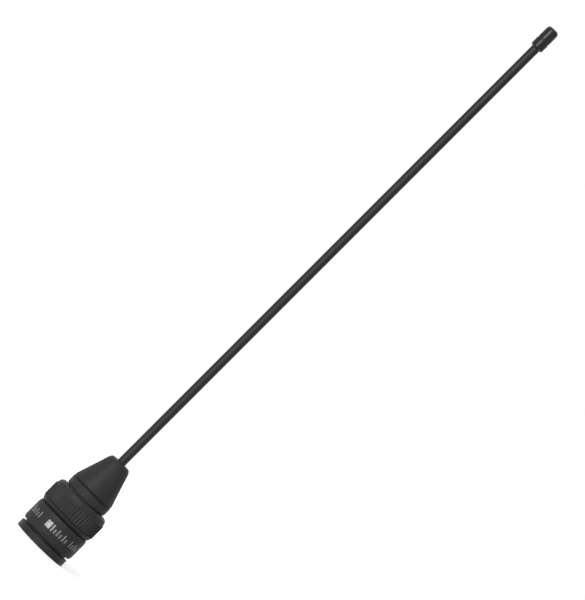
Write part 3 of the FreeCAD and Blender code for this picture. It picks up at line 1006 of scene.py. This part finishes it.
@dataclass(frozen=True)
class Corner:
    """A rounded corner of the cap's outline.

    Attributes:
        out: How far it is out from the cap's radius.
        rise: How far it is above the foot, or above the top.
        rounding: How far from it its rounding starts.
    """

    out: float
    rise: float
    rounding: float

    def point(self, radius: float, level: float) -> tuple[float, float, float]:
        """Give its radius, height and rounding, from the cap's radius and the foot's or the top's height."""
        return (radius + self.out, level + self.rise, self.rounding)


@dataclass
class TipCap:
    """The dipped cap: a lower and an upper half with a bead and a waist between them.

    Attributes:
        foot: Corner of its foot, which is cut back.
        flank: Corner where the lower half has its full width.
        under_bead: Corner under the bead.
        bead: Corner at the bead.
        waist: Corner in the waist over it.
        upper_half: Corner where the upper half has its full width.
        shoulder: Corner where the top starts to turn in, from the top, like the next two.
        cheek: Corner halfway round.
        crown: Corner at the edge of the flat top.
        roof: Thickness of the cap over the end of the whip.
        bore: Radius of its bore.
    """

    foot: Corner = Corner(-0.42 * MM, 0.0, 0.08 * MM)
    flank: Corner = Corner(0.02 * MM, 0.32 * MM, 0.2 * MM)
    under_bead: Corner = Corner(0.01 * MM, 1.62 * MM, 0.2 * MM)
    bead: Corner = Corner(0.06 * MM, 2.02 * MM, 0.2 * MM)
    waist: Corner = Corner(-0.09 * MM, 2.44 * MM, 0.12 * MM)
    upper_half: Corner = Corner(0.0, 2.78 * MM, 0.12 * MM)
    shoulder: Corner = Corner(-0.03 * MM, -0.7 * MM, 0.3 * MM)
    cheek: Corner = Corner(-0.27 * MM, -0.27 * MM, 0.22 * MM)
    crown: Corner = Corner(-0.7 * MM, 0.0, 0.25 * MM)
    roof: float = 2.2 * MM
    bore: float = 1.1 * MM

    def build(self) -> None:
        """Build the cap and let it stand for its node."""
        low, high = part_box("tip_cap")
        foot, top, radius = low.z, high.z, high.x
        lower = (self.foot, self.flank, self.under_bead, self.bead, self.waist, self.upper_half)
        upper = (self.shoulder, self.cheek, self.crown)
        outline = [
            (self.bore, foot, 0),
            *(corner.point(radius, foot) for corner in lower),
            *(corner.point(radius, top) for corner in upper),
            (0, top, 0),
            (0, top - self.roof, 0),
            (self.bore, top - self.roof, 0),
        ]
        vinyl = VINYL.make()
        dress("tip_cap", vinyl)
        cap = to_object(revolve(outline, steps=72), "dipped_cap", vinyl, Body.ANTENNA)
        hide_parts("tip_cap")


@dataclass
class Whip:
    """Wire, its jacket and the link that holds it."""

    def build(self) -> None:
        """Dress the whip."""
        dress("whip_jacket", POLYURETHANE.make())
        dress("whip_wire", SPRING_STEEL.make())
        dress("whip_ferrule", BRASS.make())


@dataclass
class Lamp:
    """One soft box.

    Attributes:
        name: Its name.
        azimuth: Degrees to the right of the camera's side.
        elevation: Degrees above the object's middle.
        away: Distance from the object's middle.
        size: Width and height.
        power: Power in watts.
    """

    name: str
    azimuth: float
    elevation: float
    away: float
    size: Span
    power: float

    def hang(self, middle: Vector) -> None:
        """Hang it so that it faces the object.

        Args:
            middle: The object's middle.
        """
        data = bpy.data.lights.new(self.name, "AREA")
        data.shape = "RECTANGLE"
        data.size, data.size_y = self.size
        data.energy = self.power
        side, rise = math.radians(self.azimuth), math.radians(self.elevation)
        out = Vector((math.sin(side) * math.cos(rise), -math.cos(side) * math.cos(rise), math.sin(rise)))
        turn = out.to_track_quat("Z", "Y").to_matrix().to_4x4()
        put(self.name, data).matrix_world = Matrix.Translation(middle + out * self.away) @ turn


@dataclass
class Studio:
    """Floor, lamps, world and camera of a plain product studio.

    Attributes:
        image: Width and height of the photograph, in pixels.
        pixel: Size of a pixel at the object, in metres.
        distance: From the camera to the object's long axis.
        eye_height: Height of the camera.
        centre: Point of the frame that the photograph's centre shows.
        roll: Turn of the camera about its own line of sight, in degrees.
        sensor: Height of the camera's sensor, in millimetres.
        sight_end: How far the camera sees.
        ambient: Plain light from all round.
        floor_reach: Radius of the floor.
        floor_gap: How far below the nut's rim the floor lies, so that the two faces don't share a plane.
        paper: Colour of the floor.
        glow: What is added to the floor that the camera sees, near the object and far from it, where
            the lamps reach it less.
        rise: Distances between which it goes from the one to the other.
        lamps: The soft boxes.
    """

    image: tuple[int, int] = (585, 600)
    pixel: float = 0.22866 * MM
    distance: float = 1.267
    eye_height: float = 0.101
    centre: tuple[float, float, float] = (1.35 * MM, 0.0, 80.56 * MM)
    roll: float = 45.0
    sensor: float = 36.0
    sight_end: float = 20.0
    ambient: float = 0.2
    floor_reach: float = 0.4
    floor_gap: float = 0.02 * MM
    paper: str = "#d6d6d6"
    glow: Span = (0.57, 0.85)
    rise: Span = (0.02, 0.12)
    lamps: tuple[Lamp, ...] = (
        Lamp("key_soft_box", -24, 14, 1.1, (0.5, 0.8), 13.0),
        Lamp("top_soft_box", -40, 60, 1.3, (0.5, 0.5), 2.6),
        Lamp("fill_soft_box", 50, 10, 1.6, (0.8, 1.0), 0.5),
        Lamp("back_soft_box", 185, 45, 1.3, (0.5, 0.8), 7.0),
    )

    def camera(self) -> None:
        """Place the long lens, turned so that the whip points to the upper right."""
        data = bpy.data.cameras.new("studio_camera")
        camera = put("studio_camera", data)
        place = Vector((0, -self.distance, self.eye_height))
        sight = (Vector(self.centre) - place).normalized()
        right = sight.cross(Vector((0, 0, 1))).normalized()
        turned = Matrix.Rotation(math.radians(self.roll), 3, -sight)
        right, up = turned @ right, turned @ right.cross(sight)
        camera.matrix_world = Matrix.Translation(place) @ Matrix((right, up, -sight)).transposed().to_4x4()
        data.sensor_fit = "VERTICAL"
        data.sensor_height = self.sensor
        data.lens = self.sensor * self.distance / (self.image[1] * self.pixel)
        data.clip_end = self.sight_end
        bpy.context.scene.camera = camera

    @staticmethod
    def shown(tree: Tree) -> Socket:
        """Tell what is looked at from what only lights the object.

        Args:
            tree: The node tree.

        Returns:
            1 for what the camera, a reflection or clear glass sees, and 0 for plain light.
        """
        rays = add_node(tree, "LightPath").outputs
        seen = rays["Is Camera Ray"]
        for ray in ("Is Glossy Ray", "Is Transmission Ray"):
            seen = add_node(tree, "Math", {0: seen, 1: rays[ray]}, operation="MAXIMUM").outputs["Value"]
        return seen

    def world(self) -> None:
        """Light everything softly, and show white behind it."""
        world = bpy.data.worlds.new("studio_world")
        bpy.context.scene.world = world
        world.use_nodes = True
        tree = world.node_tree
        tree.nodes.clear()
        level = add_node(tree, "MapRange", {"Value": self.shown(tree), "To Min": self.ambient})
        light = add_node(tree, "Background", {"Color": (1, 1, 1, 1), "Strength": level.outputs["Result"]})
        add_node(tree, "OutputWorld", {"Surface": light.outputs["Background"]})

    def paper_sweep(self) -> bpy.types.Material:
        """Make the floor's white paper, which keeps the object's shadow.

        Returns:
            The material.
        """
        material = bpy.data.materials.new("white_paper_sweep")
        material.use_nodes = True
        tree = material.node_tree
        tree.nodes.clear()
        here = add_node(tree, "TexCoord").outputs["Object"]
        away = add_node(tree, "VectorMath", {0: here}, operation="LENGTH").outputs["Value"]
        glow = add_node(tree, "MapRange", {"Value": away, **mapped(self.rise, self.glow)}).outputs["Result"]
        seen = add_node(tree, "Math", {0: glow, 1: self.shown(tree)}, operation="MULTIPLY").outputs["Value"]
        paper = add_node(tree, "BsdfDiffuse", {"Color": linear(self.paper)})
        light = add_node(tree, "Emission", {"Color": (1, 1, 1, 1), "Strength": seen})
        both = add_node(tree, "AddShader", {0: paper.outputs["BSDF"], 1: light.outputs["Emission"]})
        add_node(tree, "OutputMaterial", {"Surface": both.outputs["Shader"]})
        return material

    def floor(self, height: float) -> None:
        """Lay the floor.

        Args:
            height: Height of the floor.
        """
        mesh = bmesh.new()
        bmesh.ops.create_circle(mesh, cap_ends=True, segments=96, radius=self.floor_reach)
        bmesh.ops.translate(mesh, vec=(0, 0, height), verts=mesh.verts)
        data = bpy.data.meshes.new("studio_floor")
        mesh.to_mesh(data)
        mesh.free()
        put("studio_floor", data)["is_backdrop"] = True
        data.materials.append(self.paper_sweep())

    def build(self, lowest: float) -> None:
        """Set up the whole studio.

        Args:
            lowest: Height of the object's lowest point.
        """
        bpy.context.scene.view_settings.view_transform = "Standard"
        self.world()
        self.floor(lowest - self.floor_gap)
        for lamp in self.lamps:
            lamp.hang(Vector((0, 0, self.centre[2])))
        self.camera()
        log.info("studio ready")


def main() -> None:
    """Build the sub-assemblies in order, then the studio, and note both boxes."""
    logging.basicConfig(level=logging.INFO, format="%(name)s: %(message)s")
    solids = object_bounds()
    for part in (CouplingNut(), PlugInside(), Boot(), TipCap(), Whip()):
        part.build()
    Studio().build(solids[0].z)


if __name__ == "__main__":
    main()
